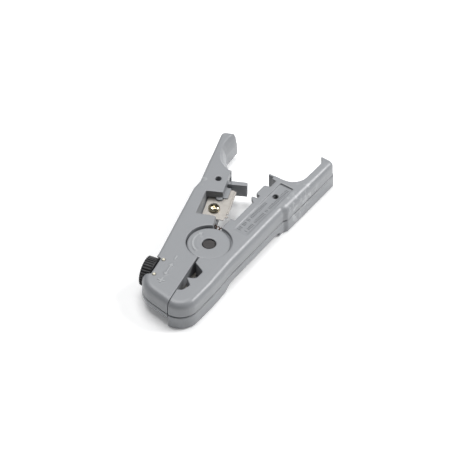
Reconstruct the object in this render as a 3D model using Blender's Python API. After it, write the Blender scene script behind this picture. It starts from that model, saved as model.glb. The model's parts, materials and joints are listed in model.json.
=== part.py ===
"""A hand-held cable stripper and cutter: a fixed right handle and a left lever on one pivot pin.

The tool lies flat. The origin is on the pivot's axis, at the underside. +Y runs along the right handle
towards the finger rest, +X points to the right handle's outer side, and +Z is up.
A spring between the handles holds them open and the nose closed, which is the pose modelled here.
Sizes are in millimetres, and the functions that make meshes turn them into metres.
"""

import math

import bmesh
import bpy
from mathutils import Matrix, Vector

MM = 0.001
ARC_STEP = 10.0  # degrees between the points of an arc
FAR = 60.0  # reach of a cutter that has to pass right through

# Driving dimensions
THICK = 15.5  # overall thickness of the handles
PARTING = 7.4  # height of the line where upper and lower mouldings meet
GAP = 0.3  # clearance between neighbours
MARK_RISE = 0.2  # height of the raised marks
LEDGE = 0.3  # how far the right handle's lower moulding stands proud of the upper one
LEVER_BASE = 4.8  # underside of the lever's nose and cover
OPEN_ANGLE = 20.5  # degrees that the lever stands open
SEAM_LEAN = 10.0  # degrees that the nose's seam leans from the Y axis
SEAM_TOP = (1.6, -11.5)  # where the seam meets the pivot disc
HOLLOW_FLOOR, HOLLOW_TOP = 4.5, 13.0  # the space inside the right handle

# Pivot
DISC_R = 10.4
RECESS_R = 11.1
DISC_TOP = 14.3
DISC_BOTTOM = 11.2
TONGUE_TOP = 10.9
HUB_TOP = PARTING - GAP / 2
PIN_HEAD_R, PIN_HEAD_TOP, PIN_HEAD_BOTTOM = 3.1, 13.8, 12.5
PIN_R = 2.4
PIN_NECK_R = 1.9
CLIP_LOW, CLIP_HIGH = 0.9, 1.6
WASHER_LOW, WASHER_HIGH, WASHER_R = 1.9, 2.6, 4.4
PIN_POCKET_R, PIN_POCKET_TOP = 4.9, 2.9

# Cutter on the lever, in the closed pose's coordinates
CUTTER_LOW, CUTTER_HIGH = 10.3, 11.1
CUTTER_EDGE = 3.0
TOOTH_PITCH, TOOTH_DEPTH = 1.1, 0.45
CUTTER_SCREW = (-4.3, 26.1)
CUTTER_BOSS = (-3.6, 33.6)

# Depth adjuster in the lever's nose
KNOB_CENTRE = (-15.95, -28.35, 10.0)  # the point on the knob's axis that the adjuster is measured from
KNOB_R, KNOB_WIDTH = 7.4, 4.2
KNOB_OUT = 1.3  # how far the knob's outer face stands outside that point
KNOB_TEETH = 40
SCREW_R = 1.5
CARRIAGE_START, CARRIAGE_END = 9.9, 17.9
TRAVEL = 0.7
STRIP_LOW, STRIP_HIGH = 7.0, 7.5
STRIP_EDGE = 21.2
KNOB_PIN_ALONG, KNOB_PIN_SIDE, KNOB_PIN_R = 6.1, 5.3, 0.75
STRIP_SCREW_ALONG, STRIP_SCREW_SIDE = 14.0, 6.0

# Spring between the handles
SPRING_Y, SPRING_Z = 13.7, 9.6
SPRING_LEFT, SPRING_RIGHT = -9.4, 2.0
SPRING_R, WIRE_R = 1.85, 0.25
SEAT_R = 2.2
SPRING_TURNS = 6.5


# Helpers -------------------------------------------------------------------------------------------


def clear_scene():
    for obj in list(bpy.data.objects):
        bpy.data.objects.remove(obj, do_unlink=True)


def material(name, colour, roughness, metallic=0.0):
    made = bpy.data.materials.new(name)
    made.use_nodes = True
    shader = made.node_tree.nodes["Principled BSDF"]
    shader.inputs["Base Color"].default_value = (*colour, 1.0)
    shader.inputs["Roughness"].default_value = roughness
    shader.inputs["Metallic"].default_value = metallic
    made.diffuse_color = (*colour, 1.0)
    return made


def rounded(corners, step=ARC_STEP):
    """The outline through (x, y, radius) corners, each rounded to its radius.

    A fourth value, if there is one, is copied to each point that the corner makes.
    """
    outline = []
    count = len(corners)
    for i, corner in enumerate(corners):
        here = Vector(corner[:2])
        radius = corner[2] if len(corner) > 2 else 0.0
        extra = tuple(corner[3:])
        before = (Vector(corners[i - 1][:2]) - here).normalized()
        after = (Vector(corners[(i + 1) % count][:2]) - here).normalized()
        angle = before.angle(after)
        if radius <= 0 or angle > math.radians(179.5):
            outline.append((*here, *extra))
            continue
        reach = radius / math.tan(angle / 2)
        centre = here + (before + after).normalized() * radius / math.sin(angle / 2)
        first = here + before * reach - centre
        turn = math.pi - angle
        side = math.copysign(1.0, first.cross(here + after * reach - centre))
        steps = max(2, math.ceil(math.degrees(turn) / step))
        for k in range(steps + 1):
            spin = Matrix.Rotation(side * turn * k / steps, 2)
            outline.append((*(centre + spin @ first), *extra))
    return outline


def turned(points, degrees):
    """Points turned about the pivot."""
    spin = Matrix.Rotation(math.radians(degrees), 2)
    return [(*(spin @ Vector(p[:2])), *p[2:]) for p in points]


def inset(outline, distances):
    """The outline moved inwards by its own distance at each point (outline counterclockwise)."""
    count = len(outline)
    moved = []
    for i, point in enumerate(outline):
        here = Vector(point[:2])
        back = (here - Vector(outline[i - 1][:2])).normalized()
        ahead = (Vector(outline[(i + 1) % count][:2]) - here).normalized()
        normal = Vector((-(back.y + ahead.y), back.x + ahead.x)).normalized()
        spread = max(0.3, normal.dot(Vector((-back.y, back.x))))
        moved.append(tuple(here + normal * distances[i] / spread))
    return moved


def mesh_object(name, build, finish=None):
    """An object whose mesh build(bm) fills in millimetres."""
    bm = bmesh.new()
    build(bm)
    bmesh.ops.recalc_face_normals(bm, faces=bm.faces)
    bm.transform(Matrix.Scale(MM, 4))
    mesh = bpy.data.meshes.new(name)
    bm.to_mesh(mesh)
    bm.free()
    obj = bpy.data.objects.new(name, mesh)
    bpy.context.scene.collection.objects.link(obj)
    if finish:
        mesh.materials.append(finish)
    return obj


def loft(bm, rings):
    """Joins rings of equal length into a closed solid with flat ends."""
    loops = [[bm.verts.new(p) for p in ring] for ring in rings]
    count = len(loops[0])
    for low, high in zip(loops, loops[1:]):
        for i in range(count):
            j = (i + 1) % count
            bm.faces.new((low[i], low[j], high[j], high[i]))
    bm.faces.new(list(reversed(loops[0])))
    bm.faces.new(loops[-1])


def prism(name, outline, low, high, finish=None):
    rings = [[(p[0], p[1], z) for p in outline] for z in (low, high)]
    return mesh_object(name, lambda bm: loft(bm, rings), finish)


def box(name, low, high, finish=None):
    outline = [(low[0], low[1]), (high[0], low[1]), (high[0], high[1]), (low[0], high[1])]
    return prism(name, outline, low[2], high[2], finish)


def circle(radius, centre=(0.0, 0.0), sides=48):
    return [
        (centre[0] + radius * math.cos(2 * math.pi * i / sides),
         centre[1] + radius * math.sin(2 * math.pi * i / sides))
        for i in range(sides)
    ]


def disc(name, radius, low, high, centre=(0.0, 0.0), sides=48, finish=None):
    return prism(name, circle(radius, centre, sides), low, high, finish)


def turned_solid(name, profile, sides, finish=None):
    """A solid of revolution about Z from (radius, height) points, listed from the bottom up."""

    def build(bm):
        rings = [[(x, y, z) for x, y in circle(r, sides=sides)] for r, z in profile]
        loft(bm, rings)

    return mesh_object(name, build, finish)


def stamp(body, tool, operation="DIFFERENCE"):
    """Cuts tool from body, adds it, or keeps what they share. The tool is hidden."""
    tool.hide_render = True
    tool.display_type = "WIRE"
    modifier = body.modifiers.new(tool.name, "BOOLEAN")
    modifier.operation = operation
    modifier.object = tool
    modifier.solver = "EXACT"
    return body


def place(obj, location, direction=None, parent=None):
    """Moves obj to a point in millimetres, with its Z axis along direction."""
    obj.location = Vector(location) * MM
    if direction is not None:
        obj.rotation_euler = Vector(direction).to_track_quat("Z", "X").to_euler()
    if parent is not None:
        obj.parent = parent
        obj.matrix_parent_inverse = parent.matrix_world.inverted()
    return obj


def hinge_empty(name, location, direction=(0, 0, 1)):
    empty = bpy.data.objects.new(name, None)
    empty.location = Vector(location) * MM
    empty.rotation_euler = Vector(direction).to_track_quat("Z", "X").to_euler()
    bpy.context.scene.collection.objects.link(empty)
    bpy.context.view_layer.update()
    return empty


# Outlines ------------------------------------------------------------------------------------------


def seam_x(y):
    return SEAM_TOP[0] + (SEAM_TOP[1] - y) * math.tan(math.radians(SEAM_LEAN))


def hull_outline():
    """The outer outline of both handles together, with the top edge's rounding at each corner."""
    soft, small = 3.6, 1.2
    return rounded([
        (17.6, -46.4, 9.6, soft),
        (17.7, -22.0, 20.0, soft),
        (16.7, -4.0, 20.0, soft),
        (16.5, 38.1, 1.2, soft),
        (17.9, 40.0, 1.2, soft + 0.8),
        (18.2, 79.4, 3.0, 2.8),
        (-6.9, 79.1, 0.0, small),
        (-37.7, 64.8, 2.2, small),
        (-27.3, 31.6, 1.5, small),
        (-27.1, 25.9, 1.5, small),
        (-15.3, -20.0, 6.0, small),
        (-14.3, -40.9, 12.5, soft),
    ])


def hull(name, spread=0.0, bottom_round=1.2, most_top_round=9.0):
    """A full-thickness solid of the hull outline, with rounded top and bottom edges.

    Spread widens it all round, for a moulding whose wall stands a little proud.
    """
    outline = hull_outline()
    points = inset([p[:2] for p in outline], [-spread] * len(outline))
    top_round = [min(p[2], most_top_round) for p in outline]
    rings = []
    for k in range(4):
        lean = math.pi / 2 * k / 3
        ring = inset(points, [bottom_round * (1 - math.sin(lean))] * len(points))
        rings.append([(x, y, bottom_round * (1 - math.cos(lean))) for x, y in ring])
    steps = 7
    for k in range(steps + 1):
        lean = math.pi / 2 * k / steps
        ring = inset(points, [r * (1 - math.cos(lean)) for r in top_round])
        rings.append([
            (x, y, THICK - r * (1 - math.sin(lean))) for (x, y), r in zip(ring, top_round)
        ])
    return mesh_object(name, lambda bm: loft(bm, rings))


def right_outline(lugs=True):
    """The right handle's inner side, nose seam and cable notches; the hull gives its outer side."""
    stops = [
        (2.7, 47.2),
        (-0.3, 46.6, 0.8),
        (-0.4, 39.4, 0.8),
        (2.1, 39.3, 0.5),
        (2.0, 37.4, 0.3),
        (-0.8, 37.2, 0.4),
        (-0.8, 36.1, 0.4),
        (2.2, 33.6),
        (1.8, 32.6),
    ]
    return rounded([
        (seam_x(-FAR), -FAR),
        (FAR, -FAR),
        (FAR, 90.0),
        (10.9, 90.0),
        (10.9, 77.6, 0.6),
        (13.4, 75.0, 3.0),
        (13.0, 55.2, 8.0),
        (-2.7, 54.4, 0.3),
        (-2.7, 53.3),
        (0.2, 53.5),
        (0.2, 52.0),
        (2.7, 52.0),
        *(stops if lugs else []),
        (1.8, 18.8),
        (-0.3, 18.8),
        (-0.3, 9.0),
        (SEAM_TOP[0] + 0.5, SEAM_TOP[1] + 0.6),
        (seam_x(-15.0) + 0.5, -15.0),
        (9.2, -18.0, 2.0),
        (9.0, -23.6, 2.6),
        (seam_x(-25.2) + 0.9, -25.4, 0.2),
        (9.3, -28.9, 1.0),
        (8.0, -33.4, 2.0),
        (seam_x(-34.6), -34.6),
    ])


def lever_outline():
    """The lever's inner side and nose seam; the hull gives its outer side."""
    nose = [
        (seam_x(-FAR) - GAP, -FAR),
        (seam_x(SEAM_TOP[1]) - GAP, SEAM_TOP[1]),
    ]
    arm = turned([
        (-0.9, 11.8, 0.0),
        (-1.6, 25.8, 0.0),
        (0.5, 25.8, 0.3),
        (0.5, 47.2, 0.3),
        (-1.5, 47.3, 0.0),
        (-1.5, 50.9, 0.4),
        (-4.5, 51.1, 0.3),
        (-4.5, 56.0, 3.0),
        (-8.6, 62.4, 7.0),
        (-5.2, 74.0, 0.0),
        (-5.2, 84.0, 0.0),
    ], OPEN_ANGLE)
    return rounded(nose + [(-0.5, -1.0)] + arm + [(-FAR, FAR + 30), (-FAR, -FAR)])


def scoop_cutter():
    """Eases the upper edge of the lever's finger rest, deepest between the cable hole and the tip."""
    stations = [  # along the lever, the rest's wall below, the eased edge on top
        (49.4, -2.6, -3.0), (51.2, -4.3, -5.6), (53.6, -4.5, -7.8), (56.0, -4.9, -9.2),
        (58.5, -6.0, -10.0), (61.0, -7.2, -10.3), (63.5, -7.9, -10.3), (66.0, -7.3, -10.0),
        (69.0, -6.5, -9.2), (72.0, -5.7, -8.0), (75.0, -5.2, -6.6), (84.0, -4.6, -5.0),
    ]
    reach_in = 6.0
    levels = [  # share of the way from the wall to the edge, height
        (0.0, THICK - 8.6), (0.02, THICK - 7.0), (0.2, THICK - 4.6), (0.52, THICK - 2.2),
        (1.0, THICK), (1.6, THICK + 2.6),
    ]
    rings = []
    for share, z in levels:
        edge = [(wall + (top - wall) * share, b) for b, wall, top in stations]
        ring = turned([(reach_in, stations[0][0]), *edge, (reach_in, stations[-1][0])], OPEN_ANGLE)
        rings.append([(x, y, z) for x, y in ring])
    return mesh_object("scoop_cutter", lambda bm: loft(bm, rings))


def arm_prism(name, corners, low, high):
    """A prism drawn in the closed pose's coordinates and swung open with the lever."""
    return prism(name, rounded(turned(corners, OPEN_ANGLE)), low, high)


def arm_point(a, b):
    return turned([(a, b)], OPEN_ANGLE)[0]


def rectangle(low_a, low_b, high_a, high_b, radius=0.0):
    return [
        (low_a, low_b, radius), (high_a, low_b, radius),
        (high_a, high_b, radius), (low_a, high_b, radius),
    ]


def knob_axis():
    lean = math.radians(SEAM_LEAN)
    return Vector((math.cos(lean), math.sin(lean), 0.0))


def adjuster_point(along, side, z=0.0):
    """A point measured along the knob's axis and to its side, from the knob's outer face."""
    axis = knob_axis()
    across = Vector((-axis.y, axis.x, 0.0))
    point = Vector((KNOB_CENTRE[0], KNOB_CENTRE[1], 0.0)) + axis * along + across * side
    return (point.x, point.y, z)


def adjuster_box(name, along, side, low, high, finish=None, radius=0.0):
    corners = [
        (*adjuster_point(along[0], side[0])[:2], radius),
        (*adjuster_point(along[1], side[0])[:2], radius),
        (*adjuster_point(along[1], side[1])[:2], radius),
        (*adjuster_point(along[0], side[1])[:2], radius),
    ]
    return prism(name, rounded(corners), low, high, finish)


# Right handle --------------------------------------------------------------------------------------

CASE_SCREWS = {"front": (13.0, -32.5), "middle": (12.6, 9.0), "rear": (13.2, 55.8)}
CASE_HEAD_R, CASE_SHANK_R, CASE_SCREW_TOP = 2.2, 1.1, 12.0
CASE_HEAD_LOW, CASE_HEAD_HIGH = 3.4, 4.6


def cable_panel():
    return rounded([(4.7, 13.9, 0.4), (12.2, 13.9, 0.4), (12.6, 52.1, 0.4), (5.3, 52.1, 0.4)])


def panel_recess():
    """The label panel's recess, whose floor deepens towards the finger rest."""
    near, far = 0.3, 0.95
    outline = cable_panel()
    ends = [min(p[1] for p in outline), max(p[1] for p in outline)]
    floor = []
    for x, y in outline:
        share = (y - ends[0]) / (ends[1] - ends[0])
        floor.append((x, y, THICK - near - (far - near) * share))
    roof = [(x, y, THICK + 3) for x, y in outline]
    return mesh_object("panel_recess", lambda bm: loft(bm, [floor, roof]))


def right_top_shell(finish):
    shell = hull("right_top_shell")
    shell.data.materials.append(finish)
    stamp(shell, prism("right_top_area", right_outline(), PARTING + GAP / 2, THICK + 5), "INTERSECT")
    stamp(shell, disc("top_recess", RECESS_R, DISC_TOP - 0.5, THICK + 5, sides=72))
    stamp(shell, disc("tongue_room", DISC_R + 0.6, 0, DISC_BOTTOM, sides=72))
    stamp(shell, prism("arm_hollow", rounded([
        (-FAR, 19.3), (12.6, 19.3, 1.0), (14.4, 21.3, 0.5), (14.4, 48.0, 1.0), (11.5, 51.0, 1.0),
        (-FAR, 51.0)]), 0, HOLLOW_TOP))
    stamp(shell, prism("nose_hollow", rounded([
        (11.2, -24.0, 1.0), (15.5, -24.0, 1.0), (15.2, -2.0, 1.0), (12.4, -2.0, 1.0),
        (11.2, -12.0, 1.0)]), 0, 12.8))
    stamp(shell, blade_relief("upper_blade_relief"))
    stamp(shell, panel_recess())
    stamp(shell, disc("panel_hole", 1.5, 0, THICK + 5, (8.0, 43.8), 24))
    spring_seat = place(disc("right_spring_seat", SEAT_R, 0, 4.0, sides=24),
                        (SPRING_RIGHT + 0.4 - 4.0, SPRING_Y, SPRING_Z), (1, 0, 0))
    stamp(shell, spring_seat)
    for where, (x, y) in CASE_SCREWS.items():
        stamp(shell, disc(f"pilot_{where}", CASE_SHANK_R + GAP, 0, CASE_SCREW_TOP + 0.5, (x, y), 16))
    top_disc = turned_solid("top_disc", [
        (RECESS_R - GAP, DISC_BOTTOM), (RECESS_R - GAP, DISC_TOP - 0.7),
        (DISC_R, DISC_TOP - 0.6), (DISC_R, DISC_TOP - 0.1), (DISC_R - 0.1, DISC_TOP),
    ], 72)
    stamp(shell, top_disc, "UNION")
    stamp(shell, disc("pin_head_pocket", PIN_HEAD_R + GAP, PIN_HEAD_BOTTOM - GAP, THICK + 5))
    stamp(shell, disc("top_pin_hole", PIN_R + GAP, 0, THICK + 5, sides=36))
    stamp(shell, turn_arrow("turn_arrow"), "UNION")
    return shell


def blade_relief(name):
    """Room in the right jaw for the stripping blade's edge."""
    return adjuster_box(name, (17.8, 23.1), (-10.2, 11.8), STRIP_LOW - 0.45, STRIP_HIGH + 0.45)


def turned_ring(name, inner, outer, low, high, sides=72):
    def build(bm):
        rings = []
        for radius, z in ((inner, low), (outer, low), (outer, high), (inner, high)):
            rings.append([bm.verts.new((x, y, z)) for x, y in circle(radius, sides=sides)])
        for a, b in zip(rings, rings[1:] + rings[:1]):
            for i in range(sides):
                j = (i + 1) % sides
                bm.faces.new((a[i], a[j], b[j], b[i]))

    return mesh_object(name, build)


def turn_arrow(name):
    """A raised curved arrow on the disc that shows which way to spin the tool."""
    inner, outer, start, end, steps = 6.4, 7.6, 160.0, 252.0, 12
    head = 12.0
    outline = []
    for k in range(steps + 1):
        angle = math.radians(start + (end - start) * k / steps)
        outline.append((outer * math.cos(angle), outer * math.sin(angle)))
    for k in range(steps + 1):
        angle = math.radians(end - (end - start) * k / steps)
        outline.append((inner * math.cos(angle), inner * math.sin(angle)))
    for radius, angle in ((inner - 0.9, start), ((inner + outer) / 2, start - head), (outer + 0.9, start)):
        angle = math.radians(angle)
        outline.append((radius * math.cos(angle), radius * math.sin(angle)))
    return prism(name, outline, DISC_TOP - 0.3, DISC_TOP + MARK_RISE)


def right_bottom_shell(finish):
    shell = hull("right_bottom_shell", spread=LEDGE, bottom_round=0.7, most_top_round=1.0)
    shell.data.materials.append(finish)
    stamp(shell, prism("right_bottom_area", right_outline(lugs=False), -5, PARTING - GAP / 2), "INTERSECT")
    stamp(shell, prism("bottom_hollow", rounded([
        (3.8, 20.0, 1.0), (12.6, 20.0, 1.0), (14.4, 21.5, 0.5), (14.4, 48.0, 1.0),
        (11.5, 51.0, 1.0), (3.8, 51.0, 1.0)]), HOLLOW_FLOOR, THICK))
    stamp(shell, box("stop_opening", (-5, 41.8, HOLLOW_FLOOR + 0.2), (6, 48.4, THICK)))
    stamp(shell, disc("bottom_panel_hole", 1.5, -5, THICK, (8.0, 43.8), 24))
    stamp(shell, blade_relief("lower_blade_relief"))
    stamp(shell, finger_relief())
    for where, (x, y) in CASE_SCREWS.items():
        stamp(shell, disc(f"head_room_{where}", CASE_HEAD_R + GAP, -5, CASE_HEAD_HIGH + GAP, (x, y), 24))
        stamp(shell, disc(f"shank_room_{where}", CASE_SHANK_R + GAP, -5, THICK, (x, y), 16))
    stamp(shell, disc("bottom_hub", DISC_R, 0, HUB_TOP, sides=72), "UNION")
    stamp(shell, disc("pin_pocket", PIN_POCKET_R, -5, PIN_POCKET_TOP, sides=36))
    stamp(shell, disc("bottom_pin_hole", PIN_R + GAP, -5, THICK, sides=36))
    return shell


def finger_relief():
    """The shallow hollow under the handle's outer side, between the nose and the rear foot."""
    low, rise, x_start = 0.0, 2.8, 11.6
    profile = rounded([
        (-15.5, low - 5, 0.0), (35.0, low - 5, 0.0), (35.0, low + rise, 1.4), (-7.0, low + rise, 8.0),
        (-12.0, low, 5.0), (-15.5, low - 1.0, 0.0),
    ])

    def build(bm):
        rings = [[(x, y, z) for y, z in profile] for x in (x_start, FAR)]
        loft(bm, rings)

    return mesh_object("finger_relief", build)


def self_tapping_screw(name, head_r, shank_r, head_low, head_high, tip, finish):
    """A screw whose head is at the bottom, with a cross recess and a pointed tip."""
    screw = turned_solid(name, [
        (head_r * 0.8, head_low), (head_r, head_low + 0.4), (head_r, head_high),
        (shank_r, head_high + 0.01), (shank_r, tip - 1.0), (shank_r * 0.3, tip),
    ], 20, finish)
    recess_depth = 0.8
    for turn, label in ((0.0, "a"), (90.0, "b")):
        slot = rectangle(-head_r * 0.62, -0.3, head_r * 0.62, 0.3)
        bar = prism(f"{name}_recess_{label}", rounded(turned(slot, turn)), head_low - 1,
                    head_low + recess_depth)
        bar.parent = screw
        stamp(screw, bar)
    return screw


def case_screws(finish):
    for where, (x, y) in CASE_SCREWS.items():
        screw = self_tapping_screw(f"case_screw_{where}", CASE_HEAD_R, CASE_SHANK_R, CASE_HEAD_LOW,
                                   CASE_HEAD_HIGH, CASE_SCREW_TOP, finish)
        place(screw, (x, y, 0))


def pivot_parts(black, steel):
    turned_solid("pivot_pin", [
        (PIN_R, 0.0), (PIN_R, CLIP_LOW - 0.05), (PIN_NECK_R, CLIP_LOW), (PIN_NECK_R, CLIP_HIGH),
        (PIN_R, CLIP_HIGH + 0.05), (PIN_R, PIN_HEAD_BOTTOM), (PIN_HEAD_R, PIN_HEAD_BOTTOM + 0.01),
        (PIN_HEAD_R, PIN_HEAD_TOP - 0.3), (PIN_HEAD_R - 0.3, PIN_HEAD_TOP),
    ], 40, black)
    washer = turned_ring("pivot_washer", PIN_R + GAP, WASHER_R, WASHER_LOW, WASHER_HIGH, 32)
    washer.data.materials.append(steel)
    clip_outline = []
    opening = math.radians(50)
    steps = 18
    inner = PIN_NECK_R + GAP
    outer = 3.9
    for radius, order in ((outer, 1), (inner, -1)):
        for k in range(steps + 1):
            share = k / steps if order > 0 else 1 - k / steps
            angle = opening / 2 + (2 * math.pi - opening) * share
            clip_outline.append((radius * math.cos(angle), radius * math.sin(angle)))
    prism("pivot_clip", clip_outline, CLIP_LOW + 0.15, CLIP_HIGH - 0.15, steel)


def handle_spring(finish):
    """A compression spring with its axis along X, seated in both handles."""
    data = bpy.data.curves.new("handle_spring", "CURVE")
    data.dimensions = "3D"
    data.bevel_depth = WIRE_R * MM
    data.bevel_resolution = 1
    data.use_fill_caps = True
    per_turn = 14
    count = round(SPRING_TURNS * per_turn)
    line = data.splines.new("POLY")
    line.points.add(count)
    for k in range(count + 1):
        angle = 2 * math.pi * k / per_turn
        x = SPRING_LEFT + (SPRING_RIGHT - SPRING_LEFT) * k / count
        y = SPRING_Y + (SPRING_R - WIRE_R) * math.cos(angle)
        z = SPRING_Z + (SPRING_R - WIRE_R) * math.sin(angle)
        line.points[k].co = (x * MM, y * MM, z * MM, 1.0)
    data.materials.append(finish)
    spring = bpy.data.objects.new("handle_spring", data)
    bpy.context.scene.collection.objects.link(spring)


# Lever ---------------------------------------------------------------------------------------------

COVER_SCREWS = {"front": (-3.0, -38.6), "middle": (-13.4, -12.6), "rear": (-21.6, 17.6)}
COVER_HEAD_LOW, COVER_HEAD_HIGH, COVER_SCREW_TOP = 5.2, 6.3, 12.0
COVER_HEAD_R, COVER_SHANK_R = 1.9, 1.0


def knob_room(name):
    """The round pocket that the knob turns in, open to the side and through the lever's top."""
    axis = knob_axis()
    room = disc(name, KNOB_R + 0.5, -8.0, KNOB_WIDTH + 0.4, sides=64)
    return place(room, KNOB_CENTRE, axis)


def lever_top_shell(finish):
    shell = hull("lever_top_shell")
    shell.data.materials.append(finish)
    stamp(shell, prism("lever_area", lever_outline(), 2, THICK + 5), "INTERSECT")
    stamp(shell, arm_prism("lever_underside", [
        (-FAR, -FAR), (FAR, -FAR), (FAR, 49.2), (-FAR, 49.2)], -5, PARTING + GAP / 2))
    stamp(shell, disc("lever_disc_room", RECESS_R, DISC_BOTTOM - GAP, THICK + 5, sides=72))
    stamp(shell, disc("tongue", DISC_R, PARTING + GAP / 2, TONGUE_TOP, sides=72), "UNION")
    stamp(shell, disc("lever_pin_hole", PIN_R + GAP, 0, THICK + 5, sides=36))
    stamp(shell, cutter_pocket())
    stamp(shell, arm_prism("cutter_slot", rectangle(-9.2, 30.0, FAR, 41.0), 10.0, CUTTER_HIGH + GAP))
    stamp(shell, arm_prism("block_side", rectangle(-1.9, 33.0, FAR, 48.0), 11.6, THICK + 5))
    stamp(shell, arm_prism("stop_channel", rectangle(-2.4, 41.3, FAR, 48.6), 8.2, 11.9))
    stamp(shell, scoop_cutter())
    stamp(shell, disc("lever_hole", 1.5, 3, THICK + 5, arm_point(-6.4, 42.4), 24))
    stamp(shell, knob_room("knob_room"))
    stamp(shell, adjuster_box("carriage_room", (CARRIAGE_START - 1.4, CARRIAGE_END + 1.1),
                              (-9.9, 9.9), 0, 12.6))
    stamp(shell, adjuster_box("retainer_room", (4.2, 8.9), (-7.1, 7.1), 0, 12.6))
    stem_room = place(disc("stem_room", SCREW_R + GAP, 0, 17.3, sides=24), KNOB_CENTRE, knob_axis())
    stamp(shell, stem_room)
    stamp(shell, adjuster_box("blade_slot", (15.8, 26.8), (-10.6, 12.2), 0, STRIP_HIGH + 0.4))
    seat = place(disc("left_spring_seat", SEAT_R, 0, 4.0, sides=24),
                 (SPRING_LEFT - 0.4, SPRING_Y, SPRING_Z), (1, 0, 0))
    stamp(shell, seat)
    for side in (-KNOB_PIN_SIDE, KNOB_PIN_SIDE):
        x, y, _ = adjuster_point(KNOB_PIN_ALONG, side)
        stamp(shell, disc(f"knob_pin_room_{side:+.0f}", KNOB_PIN_R + 0.2, 0, THICK + 5, (x, y), 20))
    for where, (x, y) in COVER_SCREWS.items():
        stamp(shell, disc(f"cover_pilot_{where}", COVER_SHANK_R + GAP, 0, COVER_SCREW_TOP + 0.5,
                          (x, y), 16))
    x, y = arm_point(*CUTTER_SCREW)
    stamp(shell, disc("cutter_screw_room", 2.3, 0, THICK + 5, (x, y), 24))
    x, y = arm_point(*CUTTER_BOSS)
    stamp(shell, disc("cutter_boss", 1.7, 9.5, 12.0, (x, y), 24), "UNION")
    stamp(shell, arm_prism("stop_root", rectangle(-3.0, 43.0, 0.6, 45.2), 7.8, 12.2), "UNION")
    stamp(shell, arm_prism("cable_stop", [
        (-0.2, 42.7, 0.2), (7.5, 43.6, 0.2), (7.3, 46.1, 0.2), (-0.2, 45.4, 0.2)],
        5.2, HOLLOW_TOP - 0.4), "UNION")
    stamp(shell, plus_and_minus(), "UNION")
    return shell


def cutter_pocket():
    """The pocket that the cutter lies in: its walls lean outwards and it is open to the right."""
    floor, top = 10.0, THICK
    low = [(-9.3, 18.9), (FAR, 18.9), (FAR, 40.7), (-9.3, 33.1)]
    high = [(-11.0, 17.3), (FAR, 19.8), (FAR, 40.7), (-10.1, 33.0)]
    rings = []
    for z in (floor, top + 2.0):
        share = (z - floor) / (top - floor)
        ring = [(a + (c - a) * share, b + (d - b) * share) for (a, b), (c, d) in zip(low, high)]
        rings.append([(x, y, z) for x, y in turned(ring, OPEN_ANGLE)])
    return mesh_object("cutter_pocket", lambda bm: loft(bm, rings))


def plus_and_minus():
    """Plus, double arrow and minus marks beside the knob, raised a little from the lever's top."""
    line, cross, shaft, head, along = 0.32, 1.75, 2.5, 1.2, 11.1
    minus = [(-line, 7.2), (line, 7.2), (line, 10.0), (-line, 10.0)]
    plus = []
    for turn in (0.0, 90.0, 180.0, 270.0):
        plus += turned([(line, -line), (cross, -line), (cross, line)], turn)
    plus = [(x, y - 7.7) for x, y in plus]
    arrow = [
        (line, -shaft), (head, -shaft), (0.0, -shaft - 1.9), (-head, -shaft), (-line, -shaft),
        (-line, shaft), (-head, shaft), (0.0, shaft + 1.9), (head, shaft), (line, shaft),
    ]
    arrow = [(x, y + 0.3) for x, y in arrow]

    def build(bm):
        for outline in (minus, plus, arrow):
            ring = [adjuster_point(along + x, y)[:2] for x, y in outline]
            loft(bm, [[(x, y, z) for x, y in ring] for z in (THICK - 0.3, THICK + MARK_RISE)])

    return mesh_object("adjuster_marks", build)


def lever_cover(finish):
    cover = hull("lever_cover")
    cover.data.materials.append(finish)
    stamp(cover, prism("cover_area", lever_outline(), LEVER_BASE, PARTING - GAP / 2), "INTERSECT")
    stamp(cover, arm_prism("cover_end", [
        (-FAR, 48.9), (FAR, 48.9), (FAR, 99.0), (-FAR, 99.0)], -5, THICK))
    stamp(cover, disc("cover_hub_room", RECESS_R, 0, THICK, sides=72))
    stamp(cover, arm_prism("stop_room", rectangle(-0.8, 42.2, FAR, 46.8), 0, THICK))
    stamp(cover, knob_room("cover_knob_room"))
    stamp(cover, adjuster_box("cover_blade_room", (CARRIAGE_START, 26.8), (-10.6, 12.2), 6.6, THICK))
    x, y, _ = adjuster_point(STRIP_SCREW_ALONG, STRIP_SCREW_SIDE)
    stamp(cover, disc("blade_screw_room", 1.6 + TRAVEL + GAP, 5.5, THICK, (x, y), 24))
    for where, (x, y) in COVER_SCREWS.items():
        stamp(cover, disc(f"cover_head_{where}", COVER_HEAD_R + GAP, 0, COVER_HEAD_HIGH + 0.1, (x, y), 24))
        stamp(cover, disc(f"cover_shank_{where}", COVER_SHANK_R + GAP, 0, THICK, (x, y), 16))
    return cover


def cover_screws(finish):
    for where, (x, y) in COVER_SCREWS.items():
        screw = self_tapping_screw(f"cover_screw_{where}", COVER_HEAD_R, COVER_SHANK_R, COVER_HEAD_LOW - 0.2,
                                   COVER_HEAD_HIGH - 0.2, COVER_SCREW_TOP, finish)
        place(screw, (x, y, 0))


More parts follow.
